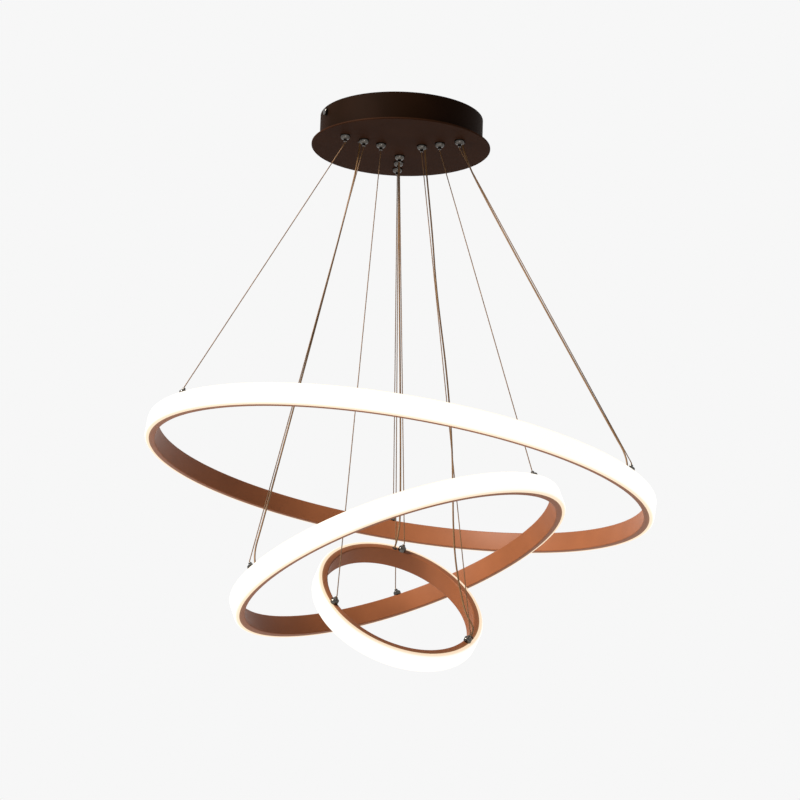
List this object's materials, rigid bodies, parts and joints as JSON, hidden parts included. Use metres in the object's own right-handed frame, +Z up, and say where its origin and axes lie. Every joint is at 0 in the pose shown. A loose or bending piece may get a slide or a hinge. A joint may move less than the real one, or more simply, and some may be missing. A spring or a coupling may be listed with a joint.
{
  "type": "ring chandelier",
  "caption": "Tilted light rings of three sizes hung on steel wires and power cords from a round ceiling canopy with wire grippers.",
  "frame": {"origin": "on the ceiling, in the middle of the bracket that the canopy hangs from", "axes": "+Z up, square to the ceiling; +X to the right and +Y away as seen in the picture"},
  "size_m": [0.5968, 0.6, 0.6681],
  "materials": {
    "steel_wire": "fine stranded steel wire with a warm sheen",
    "bush_rubber": "soft black-brown rubber",
    "cord_plastic": "smooth clear-beige cable jacket",
    "chrome_fittings": "polished chrome",
    "spring_steel": "bright spring wire",
    "zinc_steel": "zinc plated steel",
    "coffee_paint": "dark coffee-brown satin paint",
    "copper_brown_aluminium": "copper-brown satin coating on extruded aluminium",
    "opal_diffuser": "opal white plastic, lit from inside",
    "strip_board": "white flexible board with yellow light sources",
    "driver_plastic": "white moulded plastic",
    "terminal_plastic": "cream moulded plastic"
  },
  "bodies": {
    "canopy": {"canopy_drum": "coffee_paint", "canopy_face_plate": "coffee_paint", "canopy_side_screws": "chrome_fittings", "ceiling_bracket": "zinc_steel", "cord_big_ring": "cord_plastic", "cord_bushes": "bush_rubber", "cord_middle_ring": "cord_plastic", "cord_small_ring_far": "cord_plastic", "cord_small_ring_right": "cord_plastic", "driver_nuts": "zinc_steel", "face_plate_nuts": "zinc_steel", "gripper_bodies": "chrome_fittings", "gripper_nuts": "zinc_steel", "led_driver_big_ring": "driver_plastic", "led_driver_middle_ring": "driver_plastic", "led_driver_small_ring": "driver_plastic", "spring_big_ring_far": "spring_steel", "spring_big_ring_left": "spring_steel", "spring_big_ring_right": "spring_steel", "spring_middle_ring_far": "spring_steel", "spring_middle_ring_left": "spring_steel", "spring_middle_ring_right": "spring_steel", "spring_small_ring_far": "spring_steel", "spring_small_ring_left": "spring_steel", "spring_small_ring_right": "spring_steel", "terminal_block": "terminal_plastic", "wire_big_ring_far": "steel_wire", "wire_big_ring_left": "steel_wire", "wire_big_ring_right": "steel_wire", "wire_middle_ring_far": "steel_wire", "wire_middle_ring_left": "steel_wire", "wire_middle_ring_right": "steel_wire", "wire_small_ring_far": "steel_wire", "wire_small_ring_left": "steel_wire", "wire_small_ring_right": "steel_wire"},
    "big_ring": {"big_ring_anchors": "chrome_fittings", "big_ring_channel": "copper_brown_aluminium", "big_ring_cord_bush": "bush_rubber", "big_ring_diffuser": "opal_diffuser", "big_ring_light_strip": "strip_board"},
    "middle_ring": {"middle_ring_anchors": "chrome_fittings", "middle_ring_channel": "copper_brown_aluminium", "middle_ring_cord_bush": "bush_rubber", "middle_ring_diffuser": "opal_diffuser", "middle_ring_light_strip": "strip_board"},
    "small_ring": {"small_ring_anchors": "chrome_fittings", "small_ring_channel": "copper_brown_aluminium", "small_ring_cord_bush": "bush_rubber", "small_ring_diffuser": "opal_diffuser", "small_ring_light_strip": "strip_board"},
    "plunger_big_left": {"plunger_big_ring_left": "chrome_fittings"},
    "plunger_big_right": {"plunger_big_ring_right": "chrome_fittings"},
    "plunger_big_far": {"plunger_big_ring_far": "chrome_fittings"},
    "plunger_middle_left": {"plunger_middle_ring_left": "chrome_fittings"},
    "plunger_middle_right": {"plunger_middle_ring_right": "chrome_fittings"},
    "plunger_middle_far": {"plunger_middle_ring_far": "chrome_fittings"},
    "plunger_small_left": {"plunger_small_ring_left": "chrome_fittings"},
    "plunger_small_right": {"plunger_small_ring_right": "chrome_fittings"},
    "plunger_small_far": {"plunger_small_ring_far": "chrome_fittings"}
  },
  "joints": [
    {"name": "big_ring_height", "type": "slide", "parent": "canopy", "child": "big_ring", "axis": [0, 0, 1], "range_m": [0, 0.15], "deforming": ["wire_big_ring_left", "wire_big_ring_right", "wire_big_ring_far", "cord_big_ring"]},
    {"name": "middle_ring_height", "type": "slide", "parent": "canopy", "child": "middle_ring", "axis": [0, 0, 1], "range_m": [0, 0.15], "deforming": ["wire_middle_ring_left", "wire_middle_ring_right", "wire_middle_ring_far", "cord_middle_ring"]},
    {"name": "small_ring_height", "type": "slide", "parent": "canopy", "child": "small_ring", "axis": [0, 0, 1], "range_m": [0, 0.15], "deforming": ["wire_small_ring_left", "wire_small_ring_right", "wire_small_ring_far", "cord_small_ring_right", "cord_small_ring_far"]},
    {"name": "big_left_release", "type": "slide", "parent": "canopy", "child": "plunger_big_left", "axis": [0, 0, 1], "range_m": [0, 0.0015], "stiffness_N_per_m": 300, "springref_m": -0.003, "deforming": ["spring_big_ring_left"]},
    {"name": "big_right_release", "type": "slide", "parent": "canopy", "child": "plunger_big_right", "axis": [0, 0, 1], "range_m": [0, 0.0015], "stiffness_N_per_m": 300, "springref_m": -0.003, "deforming": ["spring_big_ring_right"]},
    {"name": "big_far_release", "type": "slide", "parent": "canopy", "child": "plunger_big_far", "axis": [0, 0, 1], "range_m": [0, 0.0015], "stiffness_N_per_m": 300, "springref_m": -0.003, "deforming": ["spring_big_ring_far"]},
    {"name": "middle_left_release", "type": "slide", "parent": "canopy", "child": "plunger_middle_left", "axis": [0, 0, 1], "range_m": [0, 0.0015], "stiffness_N_per_m": 300, "springref_m": -0.003, "deforming": ["spring_middle_ring_left"]},
    {"name": "middle_right_release", "type": "slide", "parent": "canopy", "child": "plunger_middle_right", "axis": [0, 0, 1], "range_m": [0, 0.0015], "stiffness_N_per_m": 300, "springref_m": -0.003, "deforming": ["spring_middle_ring_right"]},
    {"name": "middle_far_release", "type": "slide", "parent": "canopy", "child": "plunger_middle_far", "axis": [0, 0, 1], "range_m": [0, 0.0015], "stiffness_N_per_m": 300, "springref_m": -0.003, "deforming": ["spring_middle_ring_far"]},
    {"name": "small_left_release", "type": "slide", "parent": "canopy", "child": "plunger_small_left", "axis": [0, 0, 1], "range_m": [0, 0.0015], "stiffness_N_per_m": 300, "springref_m": -0.003, "deforming": ["spring_small_ring_left"]},
    {"name": "small_right_release", "type": "slide", "parent": "canopy", "child": "plunger_small_right", "axis": [0, 0, 1], "range_m": [0, 0.0015], "stiffness_N_per_m": 300, "springref_m": -0.003, "deforming": ["spring_small_ring_right"]},
    {"name": "small_far_release", "type": "slide", "parent": "canopy", "child": "plunger_small_far", "axis": [0, 0, 1], "range_m": [0, 0.0015], "stiffness_N_per_m": 300, "springref_m": -0.003, "deforming": ["spring_small_ring_far"]}
  ]
}
